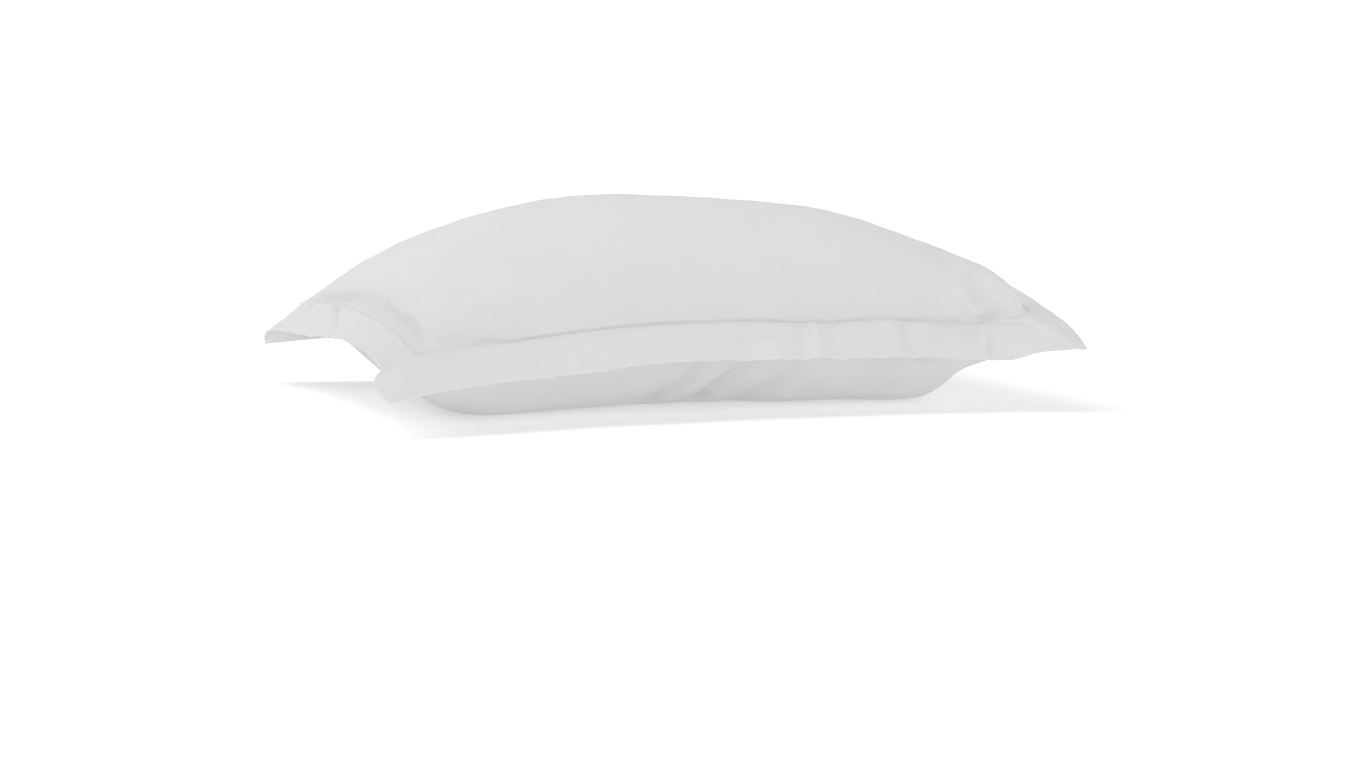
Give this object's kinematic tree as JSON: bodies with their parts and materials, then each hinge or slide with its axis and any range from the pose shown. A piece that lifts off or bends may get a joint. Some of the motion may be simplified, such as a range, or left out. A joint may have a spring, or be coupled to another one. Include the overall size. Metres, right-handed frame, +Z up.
{
  "type": "pillowcase",
  "caption": "Plain white cotton pillowcase with a flat border all round its stitched pocket, filled by a pillow and lying on its back panel.",
  "frame": {"origin": "on the surface that the pillowcase lies on, under the middle of the whole pillowcase", "axes": "+X along the length, +Y from the front long side to the back one, +Z up out of the upper panel"},
  "size_m": [0.7855, 0.5773, 0.2259],
  "materials": {
    "pocket": "matt plain-weave white cotton, filled and taut with soft creases",
    "border": "matt plain-weave white cotton, two layers with a turned-in edge"
  },
  "bodies": {
    "root": {"pocket": "pocket", "border": "border"}
  },
  "joints": []
}
